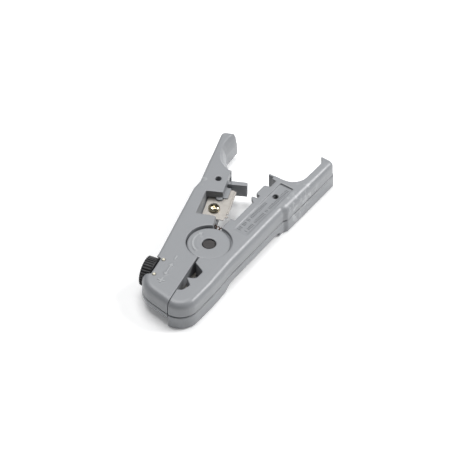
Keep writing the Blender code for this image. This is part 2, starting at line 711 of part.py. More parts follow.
def cutter_blade(finish):
    """The flat steel cutter: a plate with fine teeth along the edge that faces the right handle."""
    low_b, high_b = 19.9, 40.4
    edge = [(CUTTER_EDGE - TOOTH_DEPTH, low_b)]
    teeth = int((high_b - low_b - 1.5) / TOOTH_PITCH)
    for k in range(teeth):
        start = low_b + 1.5 + k * TOOTH_PITCH
        edge.append((CUTTER_EDGE - TOOTH_DEPTH, start))
        edge.append((CUTTER_EDGE, start + TOOTH_PITCH / 2))
    edge.append((CUTTER_EDGE - TOOTH_DEPTH, high_b))
    outline = [(-8.9, low_b + 0.6), (-2.6, low_b), *edge, (-8.9, high_b)]
    blade = prism("cutter_blade", turned(outline, OPEN_ANGLE), CUTTER_LOW, CUTTER_HIGH, finish)
    stamp(blade, disc("blade_screw_hole", 1.8, 0, THICK, arm_point(*CUTTER_SCREW), 24))
    stamp(blade, disc("blade_boss_hole", 2.0, 0, THICK, arm_point(*CUTTER_BOSS), 24))
    return blade


def cutter_fixings(brass, nickel):
    x, y = arm_point(*CUTTER_SCREW)
    head = CUTTER_HIGH + GAP
    screw = turned_solid("cutter_screw", [
        (1.0, head - 3.7), (1.4, head - 3.3), (1.4, head - 0.01), (2.8, head), (2.8, head + 0.55),
        (2.55, head + 1.15), (1.95, head + 1.65), (1.1, head + 1.95),
    ], 32, nickel)
    for turn, label in ((0.0, "a"), (90.0, "b")):
        slot = rectangle(-1.6, -0.38, 1.6, 0.38)
        bar = prism(f"cutter_recess_{label}", rounded(turned(slot, turn + 18)), head + 0.9, head + 4)
        bar.parent = screw
        stamp(screw, bar)
    place(screw, (x, y, 0))
    insert = turned_ring("threaded_insert", 1.7, 2.0, PARTING + 0.6, 9.9, 24)
    insert.data.materials.append(brass)
    place(insert, (x, y, 0))


def knob_pins(finish):
    for side, where in ((-KNOB_PIN_SIDE, "front"), (KNOB_PIN_SIDE, "rear")):
        x, y, _ = adjuster_point(KNOB_PIN_ALONG, side)
        pin = turned_solid(f"knob_pin_{where}", [
            (KNOB_PIN_R, PARTING + 0.3), (KNOB_PIN_R, THICK), (0.6, THICK + 0.2), (0.3, THICK + 0.32),
        ], 20, finish)
        place(pin, (x, y, 0))


def screw_retainer(finish):
    """The plate that the two pins hold across the adjusting screw's neck."""
    plate = adjuster_box("screw_retainer", (4.75, 7.6), (-6.8, 6.8), PARTING + 0.4, 12.3, finish)
    bore = place(disc("retainer_bore", SCREW_R + GAP, 0, 20.0, sides=24), KNOB_CENTRE, knob_axis())
    stamp(plate, bore)
    for side in (-KNOB_PIN_SIDE, KNOB_PIN_SIDE):
        x, y, _ = adjuster_point(KNOB_PIN_ALONG, side)
        stamp(plate, disc(f"retainer_pin_{side:+.0f}", KNOB_PIN_R + 0.2, 0, THICK, (x, y), 20))
    return plate


# Depth adjuster ------------------------------------------------------------------------------------


def depth_knob(black, steel):
    axis = knob_axis()
    turn = hinge_empty("knob_axis", KNOB_CENTRE, axis)

    def build(bm):
        sides = KNOB_TEETH * 4
        wave = [0.0, 0.0, -0.45, -0.45]
        rings = []
        for z, shrink in ((-KNOB_OUT, 0.7), (0.7 - KNOB_OUT, 0.0), (KNOB_WIDTH - 0.4, 0.0), (KNOB_WIDTH, 0.5)):
            ring = []
            for i in range(sides):
                angle = 2 * math.pi * i / sides
                radius = KNOB_R + wave[i % 4] - shrink
                ring.append((radius * math.cos(angle), radius * math.sin(angle), z))
            rings.append(ring)
        loft(bm, rings)

    knob = mesh_object("depth_knob", build, black)
    dish = turned_solid("knob_dish", [(4.9, -3.0 - KNOB_OUT), (4.9, -KNOB_OUT), (4.4, 0.6 - KNOB_OUT)], 40)
    dish.parent = knob
    stamp(knob, dish)
    bore = disc("knob_bore", SCREW_R + GAP, -3 - KNOB_OUT, KNOB_WIDTH + 3, sides=24)
    bore.parent = knob
    stamp(knob, bore)
    place(knob, KNOB_CENTRE, axis, turn)

    head_r = 3.2
    screw = turned_solid("adjusting_screw", [
        (head_r - 0.4, -0.45 - KNOB_OUT), (head_r, -0.1 - KNOB_OUT), (head_r, 0.25 - KNOB_OUT),
        (SCREW_R, 0.26 - KNOB_OUT), (SCREW_R, 5.2),
        (SCREW_R, 8.8), (SCREW_R, 16.8), (1.3, 17.2),
    ], 24, steel)
    room = turned_solid("screw_head_room", [(head_r + GAP, -3.0 - KNOB_OUT), (head_r + GAP, 0.55 - KNOB_OUT)], 32)
    room.parent = knob
    stamp(knob, room)
    slot = box("screw_slot", (-head_r - 1, -0.4, -2.0 - KNOB_OUT), (head_r + 1, 0.4, -0.05 - KNOB_OUT))
    slot.parent = screw
    stamp(screw, slot)
    place(screw, KNOB_CENTRE, axis, turn)


def blade_carriage(plastic, steel):
    carriage = adjuster_box("blade_carriage", (CARRIAGE_START, CARRIAGE_END), (-9.3, 9.3),
                            STRIP_HIGH + GAP, 12.3, plastic)
    bore = place(disc("carriage_bore", SCREW_R + GAP, 0, 30.0, sides=24), KNOB_CENTRE, knob_axis())
    stamp(carriage, bore)
    x, y, _ = adjuster_point(STRIP_SCREW_ALONG, STRIP_SCREW_SIDE)
    stamp(carriage, disc("strip_pilot", 0.8 + GAP, 0, 12.0, (x, y), 16))
    blade = adjuster_box("stripping_blade", (11.0, STRIP_EDGE), (-9.8, 11.4), STRIP_LOW, STRIP_HIGH, steel)
    stamp(blade, disc("strip_screw_hole", 0.8 + GAP, 0, THICK, (x, y), 16))
    screw = turned_solid("stripping_blade_screw", [
        (1.2, STRIP_LOW - 1.1), (1.6, STRIP_LOW - 0.9), (1.6, STRIP_LOW - 0.3), (0.8, STRIP_LOW - 0.29),
        (0.8, 10.8), (0.4, 11.2),
    ], 16, steel)
    place(screw, (x, y, 0))


def main():
    clear_scene()
    grey = material("grey_abs", (0.37, 0.38, 0.39), 0.4)
    black = material("black_plastic", (0.03, 0.03, 0.032), 0.5)
    steel = material("blade_steel", (0.6, 0.59, 0.57), 0.35, 1.0)
    nickel = material("nickel_plate", (0.72, 0.68, 0.58), 0.22, 1.0)
    brass = material("brass", (0.72, 0.55, 0.28), 0.3, 1.0)
    ivory = material("ivory_nylon", (0.78, 0.75, 0.66), 0.45)
    spring_steel = material("spring_steel", (0.2, 0.17, 0.15), 0.4, 1.0)
    right_top_shell(grey)
    right_bottom_shell(grey)
    case_screws(steel)
    pivot_parts(black, steel)
    handle_spring(spring_steel)
    lever_top_shell(grey)
    lever_cover(grey)
    cover_screws(steel)
    cutter_blade(steel)
    cutter_fixings(brass, nickel)
    knob_pins(ivory)
    screw_retainer(steel)
    depth_knob(black, steel)
    blade_carriage(black, steel)


main()
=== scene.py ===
# %% [markdown]
# # A grey plastic cable stripper
#
# The tool is two moulded handles on one pin. The nose has notches and a thin blade for slitting a cable's
# jacket, a black knurled knob sets how far that blade stands out, and a toothed steel cutter sits between
# the handles. Another script made the working parts as plain solids. Here they get the finish of the real
# thing: soft moulded edges, raised marks, knurls, a coiled spring and proper materials.

# %% Load the working parts
import json
import math

import bmesh
import bpy
from mathutils import Matrix, Vector


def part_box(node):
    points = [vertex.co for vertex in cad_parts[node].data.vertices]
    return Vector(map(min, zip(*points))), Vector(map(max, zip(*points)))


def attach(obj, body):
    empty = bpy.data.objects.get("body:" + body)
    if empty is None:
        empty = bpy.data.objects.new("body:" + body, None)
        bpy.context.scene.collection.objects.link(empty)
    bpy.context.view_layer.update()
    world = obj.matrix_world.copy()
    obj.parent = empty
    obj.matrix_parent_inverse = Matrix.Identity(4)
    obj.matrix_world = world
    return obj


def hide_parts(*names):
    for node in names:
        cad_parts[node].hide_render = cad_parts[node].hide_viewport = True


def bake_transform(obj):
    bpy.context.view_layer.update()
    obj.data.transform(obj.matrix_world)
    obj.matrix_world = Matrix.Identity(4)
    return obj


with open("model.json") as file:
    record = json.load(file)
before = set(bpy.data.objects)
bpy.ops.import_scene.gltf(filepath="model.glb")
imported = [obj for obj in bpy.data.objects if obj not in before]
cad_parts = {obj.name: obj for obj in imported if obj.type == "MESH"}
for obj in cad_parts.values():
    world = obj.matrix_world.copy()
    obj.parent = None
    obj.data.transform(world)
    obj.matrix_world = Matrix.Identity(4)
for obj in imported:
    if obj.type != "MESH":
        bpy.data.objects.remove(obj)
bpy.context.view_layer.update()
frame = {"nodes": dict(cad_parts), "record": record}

MM = 0.001

# %% [markdown]
# ## Small helpers
#
# Colours are written as they look on a screen, in hex. Blender works with linear light, so one function
# turns a hex colour into linear numbers. One more function adds a node to any tree, sets its options and
# either fills its sockets or links them, which keeps every material and Geometry Nodes tree short to read.


# %% Colour and node helpers
# Nearly all of a noise texture's values lie between these two.
NOISE_LOW, NOISE_HIGH = 0.3, 0.7


def linear(hex_colour):
    """A hex sRGB colour as linear RGBA."""
    channels = [int(hex_colour[i:i + 2], 16) / 255 for i in (1, 3, 5)]
    return [c / 12.92 if c <= 0.04045 else ((c + 0.055) / 1.055) ** 2.4 for c in channels] + [1.0]


def add(tree, kind, settings=None, inputs=None):
    """Adds a node. An input's value is a plain value, or the output socket that feeds it."""
    node = tree.nodes.new(kind)
    for name, value in (settings or {}).items():
        setattr(node, name, value)
    for key, value in (inputs or {}).items():
        if isinstance(value, bpy.types.NodeSocket):
            tree.links.new(value, node.inputs[key])
        else:
            node.inputs[key].default_value = value
    return node


def per_mm(size_mm):
    """A noise texture's scale for a pattern of this size, as object coordinates are in metres."""
    return 1 / (size_mm * MM)


print("mid grey in linear light:", round(linear("#808080")[0], 3))

# %% [markdown]
# ## Materials
#
# Nearly all of the tool is injection-moulded ABS. A mould for such a tool is spark-eroded, which leaves a
# very fine, even grain that breaks up reflections: satin, not glossy. The grain is about 0.1 mm, too fine to
# show here, so it is drawn at 0.35 mm. The roughness wanders a little over every few millimetres, and the
# colour has a faint cloudiness from the melt flowing in the mould.
#
# Use leaves its own traces, and light is painted on in two places. On a few spots of the handles the skin is
# painted a paler grey in short streaks, for rubbed wear and a painted sheen, and the raised marks are
# polished smoother and painted lighter than the skin they stand on, as a painted highlight.


# %% Worn spots with a painted sheen
# Paler grey of the streaks: rubbed wear and a painted sheen.
WEAR_AND_SHEEN_GREY = "#A2A4A6"
STREAK_MM = 2.4
STREAK_FROM, STREAK_FULL = 0.52, 0.62
SPOT_CORE = 0.4


def wear_and_sheen(tree, place, spots):
    """Paler streaks inside each spot for rubbed wear and a painted sheen, given as centre and radius in mm.
    """
    streaks = add(tree, "ShaderNodeTexNoise", inputs={
        "Vector": place, "Scale": per_mm(STREAK_MM), "Detail": 4.0,
    })
    sharp = add(tree, "ShaderNodeMapRange", inputs={
        "Value": streaks.outputs["Fac"], "From Min": STREAK_FROM, "From Max": STREAK_FULL,
    })
    reach = None
    for x, y, z, radius in spots:
        centre = (x * MM, y * MM, z * MM)
        away = add(tree, "ShaderNodeVectorMath", {"operation": "DISTANCE"}, {0: place, 1: centre})
        near = add(tree, "ShaderNodeMapRange", inputs={
            "Value": away.outputs["Value"], "From Min": radius * MM, "From Max": radius * SPOT_CORE * MM,
        })
        inputs = {0: near.outputs["Result"], 1: reach if reach else 0.0}
        reach = add(tree, "ShaderNodeMath", {"operation": "MAXIMUM"}, inputs).outputs["Value"]
    both = add(tree, "ShaderNodeMath", {"operation": "MULTIPLY"}, {0: sharp.outputs["Result"], 1: reach})
    return both.outputs["Value"]


print("rubbed streaks are about", STREAK_MM, "mm across")

# %% [markdown]
# ### The plastics themselves
#
# One function makes them all: a colour and its cloudiness, a roughness and how far it wanders, and the size
# and depth of the grain. The noise sizes are in mm, so a pattern keeps its size from one piece to the next.


# %% Moulded plastics
CLOUD_MM, WANDER_MM = 9, 5
GRAIN_STRENGTH, PLASTIC_IOR = 0.6, 1.53


def plastic(name, hex_colour, hex_cloud, roughness, spread, grain_mm, grain_depth_mm, spots=()):
    """Moulded plastic: cloudy colour, wandering roughness and a fine eroded grain."""
    made = bpy.data.materials.new(name)
    made.use_nodes = True
    tree = made.node_tree
    shader = tree.nodes["Principled BSDF"]
    place = add(tree, "ShaderNodeTexCoord").outputs["Object"]
    cloud = add(tree, "ShaderNodeTexNoise", inputs={
        "Vector": place, "Scale": per_mm(CLOUD_MM), "Detail": 3.0,
    })
    colour = add(tree, "ShaderNodeMix", {"data_type": "RGBA"}, {"Factor": cloud.outputs["Fac"]})
    colour.inputs["A"].default_value = linear(hex_colour)
    colour.inputs["B"].default_value = linear(hex_cloud)
    shade = colour.outputs["Result"]
    # Paler streaks at the spots: rubbed wear and a painted sheen.
    if spots:
        wear_and_sheen_mask = wear_and_sheen(tree, place, spots)
        lighter = add(tree, "ShaderNodeMix", {"data_type": "RGBA"}, {"Factor": wear_and_sheen_mask})
        tree.links.new(shade, lighter.inputs["A"])
        lighter.inputs["B"].default_value = linear(WEAR_AND_SHEEN_GREY)
        shade = lighter.outputs["Result"]
    tree.links.new(shade, shader.inputs["Base Color"])
    wear = add(tree, "ShaderNodeTexNoise", inputs={
        "Vector": place, "Scale": per_mm(WANDER_MM), "Detail": 5.0,
    })
    rough = add(tree, "ShaderNodeMapRange", inputs={
        "Value": wear.outputs["Fac"], "From Min": NOISE_LOW, "From Max": NOISE_HIGH,
        "To Min": roughness - spread, "To Max": roughness + spread,
    })
    tree.links.new(rough.outputs["Result"], shader.inputs["Roughness"])
    grain = add(tree, "ShaderNodeTexNoise", inputs={
        "Vector": place, "Scale": per_mm(grain_mm), "Detail": 2.0, "Roughness": 0.6,
    })
    bump = add(tree, "ShaderNodeBump", inputs={
        "Height": grain.outputs["Fac"], "Distance": grain_depth_mm * MM, "Strength": GRAIN_STRENGTH,
    })
    tree.links.new(bump.outputs["Normal"], shader.inputs["Normal"])
    shader.inputs["IOR"].default_value = PLASTIC_IOR
    return made


# Centre x, y, z and radius in mm of the paler streaks of wear and painted sheen: two spots that run together
# on the right handle, and one on the lever.
WEAR_AND_SHEEN_SPOTS = ((18.0, 46.0, 9.0, 11.0), (17.5, 57.0, 10.0, 9.0), (-27.0, 32.0, 14.5, 5.0))
# The shells: solid-coloured ABS with a spark-eroded satin skin.
grey_abs = plastic("moulded_grey_abs", "#8A8C8F", "#86888B", 0.36, 0.04, 0.35, 0.015, WEAR_AND_SHEEN_SPOTS)
# The raised marks: the same ABS, polished smoother by fingers because it stands proud; its lighter grey is a
# painted highlight.
mark_abs_painted_highlight = plastic("moulded_grey_abs_polished_painted_highlight", "#A2A4A6", "#9C9EA0", 0.28, 0.03, 0.35, 0.005)
# The knob and the blade's slide: black nylon, which is duller than ABS.
knob_nylon = plastic("moulded_black_nylon", "#1B1B1D", "#232325", 0.48, 0.08, 0.5, 0.03)
# The pivot pin: black acetal, turned and so smoother than a moulding.
pin_acetal = plastic("turned_black_acetal", "#2A2626", "#221F1F", 0.34, 0.06, 0.4, 0.01)
# The two small pins at the knob: natural nylon with no colour added.
ivory_nylon = plastic("moulded_ivory_nylon", "#E2DDCB", "#D9D2BD", 0.42, 0.05, 0.4, 0.01)
print("plastics:", [m.name for m in (grey_abs, mark_abs_painted_highlight, knob_nylon, pin_acetal, ivory_nylon)])

# %% [markdown]
# ## Metals
#
# The cutter and the stripping blade are ground tool steel: grinding leaves fine straight lines, so the noise
# is stretched along one direction. The cutter's screw is zinc-plated and passivated, which leaves a bright
# pale grey with a faint yellow cast. The spring is oil-tempered wire, brown with near-black patches. The
# other screws and the pivot's washer and clip are plain zinc-plated steel, and the insert is turned brass.


# %% Metal maker
STAIN_MM, LINE_STRENGTH = 2.5, 0.5


def metal(name, hex_colour, hex_stain, roughness, spread, line_mm, line_stretch, depth_mm):
    """Bare or plated metal with a stain in its colour and lines left by how it was finished."""
    made = bpy.data.materials.new(name)
    made.use_nodes = True
    tree = made.node_tree
    shader = tree.nodes["Principled BSDF"]
    shader.inputs["Metallic"].default_value = 1.0
    place = add(tree, "ShaderNodeTexCoord").outputs["Object"]
    stain = add(tree, "ShaderNodeTexNoise", inputs={
        "Vector": place, "Scale": per_mm(STAIN_MM), "Detail": 4.0,
    })
    colour = add(tree, "ShaderNodeMix", {"data_type": "RGBA"}, {"Factor": stain.outputs["Fac"]})
    colour.inputs["A"].default_value = linear(hex_colour)
    colour.inputs["B"].default_value = linear(hex_stain)
    tree.links.new(colour.outputs["Result"], shader.inputs["Base Color"])
    aim = add(tree, "ShaderNodeMapping", inputs={"Vector": place, "Scale": (1.0, 1 / line_stretch, 1.0)})
    lines = add(tree, "ShaderNodeTexNoise", inputs={
        "Vector": aim.outputs["Vector"], "Scale": per_mm(line_mm), "Detail": 3.0,
    })
    rough = add(tree, "ShaderNodeMapRange", inputs={
        "Value": lines.outputs["Fac"], "From Min": NOISE_LOW, "From Max": NOISE_HIGH,
        "To Min": roughness - spread, "To Max": roughness + spread,
    })
    tree.links.new(rough.outputs["Result"], shader.inputs["Roughness"])
    bump = add(tree, "ShaderNodeBump", inputs={
        "Height": lines.outputs["Fac"], "Distance": depth_mm * MM, "Strength": LINE_STRENGTH,
    })
    tree.links.new(bump.outputs["Normal"], shader.inputs["Normal"])
    return made


# Hardened tool steel, ground flat: greyish, with lines drawn out eight times their width.
blade_steel = metal("ground_tool_steel", "#B4B0AB", "#A09C96", 0.46, 0.08, 0.25, 8.0, 0.01)
# Steel with a passivated zinc plate: bright, smooth and slightly yellow.
yellow_zinc = metal("passivated_zinc_plate", "#CDC6B2", "#B5A88A", 0.16, 0.04, 0.5, 1.0, 0.003)
# Steel with a plain zinc plate: a colder grey and duller.
zinc_steel = metal("zinc_plated_steel", "#BFC1C4", "#A9ABAF", 0.3, 0.08, 0.4, 1.0, 0.005)
# Oil-tempered spring wire: its scale stays on, brown where thin and near black where thick.
spring_wire = metal("oil_tempered_wire", "#6A4632", "#2A211D", 0.3, 0.08, 0.9, 1.0, 0.005)
# Free-cutting brass as it leaves the lathe.
turned_brass = metal("turned_brass", "#C9A556", "#B08E45", 0.28, 0.06, 0.3, 1.0, 0.005)
print("metals:", [m.name for m in (blade_steel, yellow_zinc, zinc_steel, spring_wire, turned_brass)])

# %% [markdown]
# ## Turning meshes into finished pieces
#
# Every finished piece is a plain mesh whose object sits at the origin, so a pattern on Object coordinates
# can't slide. These helpers make a piece from a mesh, evaluate modifiers once, and let the piece ride on its
# body.


# %% Piece helpers
SAME_POINT_M = 1e-6
FLAT_DEGREES = 0.4


def link(name, mesh):
    """A new object in the scene that holds the mesh."""
    obj = bpy.data.objects.new(name, mesh)
    bpy.context.scene.collection.objects.link(obj)
    return obj


def evaluated(obj):
    """The object's mesh with its modifiers applied. The object itself is removed."""
    bpy.context.view_layer.update()
    graph = bpy.context.evaluated_depsgraph_get()
    mesh = bpy.data.meshes.new_from_object(obj.evaluated_get(graph), depsgraph=graph)
    bpy.data.objects.remove(obj)
    return mesh


def finish_piece(name, mesh, body, material, replaces=(), sharp_degrees=40.0):
    """Links the mesh as a piece, shades it, gives it its material and lets it ride on its body."""
    mesh.materials.clear()
    mesh.materials.append(material)
    mesh.shade_smooth()
    mesh.set_sharp_from_angle(angle=math.radians(sharp_degrees))
    piece = link(name, mesh)
    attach(piece, body)
    if replaces:
        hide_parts(*replaces)
    print(f"{name}: {len(mesh.polygons)} faces on {body}")
    return piece


def merged(node):
    """A copy of a working part's mesh with its loose triangles joined and its flat faces made whole."""
    bm = bmesh.new()
    bm.from_mesh(frame["nodes"][node].data)
    bmesh.ops.remove_doubles(bm, verts=bm.verts, dist=SAME_POINT_M)
    bmesh.ops.dissolve_limit(bm, angle_limit=math.radians(FLAT_DEGREES), verts=bm.verts, edges=bm.edges)
    mesh = bpy.data.meshes.new(node)
    bm.to_mesh(mesh)
    bm.free()
    return mesh


# %% [markdown]
# ## The moulded shells
#
# No edge on a moulding is truly sharp: the mould is cut with a round tool, so inner corners are soft and
# outer edges have a small radius that catches the light. A bevel on a mesh full of cut-outs often folds over
# itself. A voxel remesh is safer: it rebuilds the whole skin from even small squares, and a few rounds of
# smoothing then pull each edge into a soft radius of about a voxel, all round, however the cut-outs meet.


# %% Remesh the shells
SMOOTHING = 0.5


def moulded(name, node, body, voxel_mm, rounds):
    """A shell in grey ABS with softened edges, made from one working part, on that part's body."""
    draft = link("draft", merged(node))
    skin = draft.modifiers.new("skin", "REMESH")
    skin.mode = "VOXEL"
    skin.voxel_size = voxel_mm * MM
    soften = draft.modifiers.new("soften", "SMOOTH")
    soften.factor = SMOOTHING
    soften.iterations = rounds
    finish_piece(name, evaluated(draft), body, grey_abs, (node,), sharp_degrees=60)


moulded("right_handle_upper", "right_top_shell", "right_handle", voxel_mm=0.27, rounds=4)
moulded("right_handle_lower", "right_bottom_shell", "right_handle", voxel_mm=0.32, rounds=3)
moulded("lever_moulding", "lever_top_shell", "lever", voxel_mm=0.28, rounds=4)
moulded("lever_cover_plate", "lever_cover", "lever", voxel_mm=0.3, rounds=3)

# %% [markdown]
# ## Where things are
#
# The lever stands open, so everything on it is easier to draw in the closed pose and then turn about the
# pivot. The knob's place and axis come from its joint in the record, and the marks beside it are measured
# from there. The turn arrow lies on the pivot's disc, whose top is a little higher than the pin's.

# %% Frames for drawing
LEVER_OPEN_DEGREES = 20.5
DISC_ABOVE_PIN = 0.5
LEVER_TURN = Matrix.Rotation(math.radians(LEVER_OPEN_DEGREES), 4, "Z")
knob_joint = next(j for j in frame["record"]["behaviour"]["joints"] if j["name"] == "knob_turn")
knob_axis = Vector(knob_joint["axis"])
knob_start = Vector(knob_joint["pos_m"]) / MM
KNOB_PLACE = Matrix.Translation(knob_start) @ knob_axis.to_track_quat("Z", "X").to_matrix().to_4x4()
knob_across = Vector((-knob_axis.y, knob_axis.x, 0.0))
deck_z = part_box("right_top_shell")[1].z / MM
plate_low, plate_high = (corner.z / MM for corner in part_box("cutter_blade"))
disc_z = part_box("pivot_pin")[1].z / MM + DISC_ABOVE_PIN
print("deck at", round(deck_z, 2), "mm and disc at", round(disc_z, 2), "mm")
print("knob axis", [round(v, 3) for v in knob_axis])

# %% [markdown]
# ## Drawing solids in mm
#
# The small pieces are drawn in mm from an outline or a turned profile. These helpers make such a solid, put
# several together in metres, spin a profile round the axis, and take one solid out of another.


# %% Solid helpers
def solid(outline, low, high, edge=0.0):
    """A flat-topped solid from an outline in mm, with its upper edge broken by a small chamfer."""
    bm = bmesh.new()
    levels = [(0.0, low), (0.0, high)] if not edge else [(0.0, low), (0.0, high - edge), (edge, high)]
    loops = []
    for shrink, z in levels:
        loop = []
        for i, (x, y) in enumerate(outline):
            back = Vector(outline[i - 1]) - Vector((x, y))
            ahead = Vector(outline[(i + 1) % len(outline)]) - Vector((x, y))
            side = (ahead.normalized() - back.normalized()).orthogonal().normalized()
            loop.append(bm.verts.new((x - side.x * shrink, y - side.y * shrink, z)))
        loops.append(loop)
    for lower, upper in zip(loops, loops[1:]):
        for i in range(len(outline)):
            j = (i + 1) % len(outline)
            bm.faces.new((lower[i], lower[j], upper[j], upper[i]))
    bm.faces.new(loops[0][::-1])
    bm.faces.new(loops[-1])
    bmesh.ops.recalc_face_normals(bm, faces=bm.faces)
    mesh = bpy.data.meshes.new("solid")
    bm.to_mesh(mesh)
    bm.free()
    return mesh


def joined(meshes, matrix=None):
    """One mesh from several in mm, placed by the matrix and scaled to metres."""
    bm = bmesh.new()
    for mesh in meshes:
        bm.from_mesh(mesh)
    bm.transform(Matrix.Scale(MM, 4) @ (matrix or Matrix()))
    whole = bpy.data.meshes.new("joined")
    bm.to_mesh(whole)
    bm.free()
    return whole


def lathed(profile, steps):
    """A turned shape from (radius, height) points in mm, listed from the bottom up."""
    bm = bmesh.new()
    points = [bm.verts.new((r, 0.0, z)) for r, z in profile]
    for a, b in zip(points, points[1:]):
        bm.edges.new((a, b))
    bmesh.ops.spin(bm, geom=bm.verts[:] + bm.edges[:], axis=(0, 0, 1), cent=(0, 0, 0),
                   angle=math.tau, steps=steps)
    bmesh.ops.remove_doubles(bm, verts=bm.verts, dist=1e-4)
    bmesh.ops.recalc_face_normals(bm, faces=bm.faces)
    mesh = bpy.data.meshes.new("lathed")
    bm.to_mesh(mesh)
    bm.free()
    return mesh


def cut(mesh, cutter_meshes):
    """The mesh with each cutter taken out of it by an exact Boolean."""
    body = link("body", mesh)
    tools = []
    for number, cutter_mesh in enumerate(cutter_meshes):
        tool = link(f"tool_{number}", cutter_mesh)
        tools.append(tool)
        step = body.modifiers.new(f"cut_{number}", "BOOLEAN")
        step.operation = "DIFFERENCE"
        step.solver = "EXACT"
        step.object = tool
    result = evaluated(body)
    for tool in tools:
        bpy.data.objects.remove(tool)
    return result


# %% [markdown]
# ## Raised marks
#
# The marks are part of the moulding: engraved in the mould, they stand 0.28 mm proud of the plastic. The
# remeshed shell is too coarse for them, so each is its own small solid with a chamfered top edge, sunk a
# little into the shell. The plus, the double arrow and the minus say which way the knob moves the blade, and
# the curved arrow on the disc says which way to turn the tool.

# %% Marks beside the knob and on the disc
MARK_RISE, MARK_SUNK, MARK_EDGE = 0.28, 0.4, 0.09
MARKS_ALONG = 11.1
STROKE, PLUS_ARM, PLUS_AT = 0.32, 1.75, -7.7
MINUS_FROM, MINUS_TO = 7.2, 10.0
SHAFT_FROM, SHAFT_TO, HEAD_HALF, HEAD_LONG = -2.2, 2.8, 1.2, 1.9


def beside_knob(outline):
    """An outline drawn along and across the knob's axis, moved to its place on the deck."""
    return [tuple((knob_start + knob_axis * (MARKS_ALONG + x) + knob_across * y).xy) for x, y in outline]


def quarter_turns(points):
    """A few points repeated at the four quarter turns, which makes a closed outline."""
    ring = []
    for quarter in range(4):
        spin = Matrix.Rotation(math.tau * quarter / 4, 2)
        ring += [tuple(spin @ Vector(p)) for p in points]
    return ring


one_arm = [(STROKE, -STROKE), (PLUS_ARM, -STROKE), (PLUS_ARM, STROKE)]
plus = [(x, y + PLUS_AT) for x, y in quarter_turns(one_arm)]
minus = [(-STROKE, MINUS_FROM), (STROKE, MINUS_FROM), (STROKE, MINUS_TO), (-STROKE, MINUS_TO)]
double_arrow = [
    (STROKE, SHAFT_FROM), (HEAD_HALF, SHAFT_FROM), (0.0, SHAFT_FROM - HEAD_LONG),
    (-HEAD_HALF, SHAFT_FROM), (-STROKE, SHAFT_FROM),
    (-STROKE, SHAFT_TO), (-HEAD_HALF, SHAFT_TO), (0.0, SHAFT_TO + HEAD_LONG),
    (HEAD_HALF, SHAFT_TO), (STROKE, SHAFT_TO),
]
marks = [
    solid(beside_knob(outline), deck_z - MARK_SUNK, deck_z + MARK_RISE, MARK_EDGE)
    for outline in (plus, minus, double_arrow)
]
# The marks' lighter grey is a painted highlight where their edges catch the light.
finish_piece("adjuster_marks", joined(marks), "lever", mark_abs_painted_highlight, sharp_degrees=20)

# %% Curved arrow on the disc
ARROW_IN, ARROW_OUT, ARROW_START, ARROW_END = 7.3, 8.05, 160.0, 250.0
HEAD_WIDER, HEAD_TURN, ARC_STEPS = 0.8, 12.0, 24


def on_circle(radius, degrees):
    """A point on a circle about the pivot."""
    return (radius * math.cos(math.radians(degrees)), radius * math.sin(math.radians(degrees)))


bends = [ARROW_START + (ARROW_END - ARROW_START) * k / ARC_STEPS for k in range(ARC_STEPS + 1)]
curved = [on_circle(ARROW_OUT, bend) for bend in bends]
curved += [on_circle(ARROW_IN, bend) for bend in reversed(bends)]
curved += [
    on_circle(ARROW_IN - HEAD_WIDER, ARROW_START),
    on_circle((ARROW_IN + ARROW_OUT) / 2, ARROW_START - HEAD_TURN),
    on_circle(ARROW_OUT + HEAD_WIDER, ARROW_START),
]
turn_arrow = solid(curved, disc_z - MARK_SUNK, disc_z + MARK_RISE, MARK_EDGE)
# The arrow's lighter grey is a painted highlight.
finish_piece("turn_arrow", joined([turn_arrow]), "right_handle", mark_abs_painted_highlight, sharp_degrees=20)

# %% [markdown]
# ## The label panel
#
# The recessed panel carries two rows of moulded lettering. Words don't belong on a shared part, so the rows
# are plain upright strokes with the same height, spacing and low relief. They repeat along a line, which is
# what Geometry Nodes is for: a line of points, a small block on most of them, and a fixed seed that leaves
# some out and varies their height, so the rows read as text from a distance.


# %% A helper for Geometry Nodes
SOCKETS = {float: "NodeSocketFloat", int: "NodeSocketInt", tuple: "NodeSocketVector"}


def new_tree(name, sizes):
    """A Geometry Nodes tree with one named input for each size and a geometry output, and its input node's
    sockets.
    """
    tree = bpy.data.node_groups.new(name, "GeometryNodeTree")
    for label, value in sizes.items():
        tree.interface.new_socket(label, in_out="INPUT", socket_type=SOCKETS[type(value)])
    tree.interface.new_socket("Geometry", in_out="OUTPUT", socket_type="NodeSocketGeometry")
    return tree, add(tree, "NodeGroupInput").outputs


def grown(tree, geometry, material, sizes):
    """Ends the tree in Realize Instances and Set Material, gives it its sizes, and returns its mesh."""
    real = add(tree, "GeometryNodeRealizeInstances", inputs={"Geometry": geometry})
    coated = add(tree, "GeometryNodeSetMaterial", inputs={"Geometry": real.outputs[0], "Material": material})
    add(tree, "NodeGroupOutput", inputs={"Geometry": coated.outputs[0]})
    draft = link("draft", bpy.data.meshes.new("draft"))
    growth = draft.modifiers.new("growth", "NODES")
    growth.node_group = tree
    for item in tree.interface.items_tree:
        if item.in_out == "INPUT":
            growth[item.identifier] = sizes[item.name]
    return evaluated(draft)


# %% Two rows of strokes
LEAST_SCALE, MOST_SCALE = (0.8, 0.62, 1.0), (1.25, 1.0, 1.0)
STROKE_EDGE = 0.09


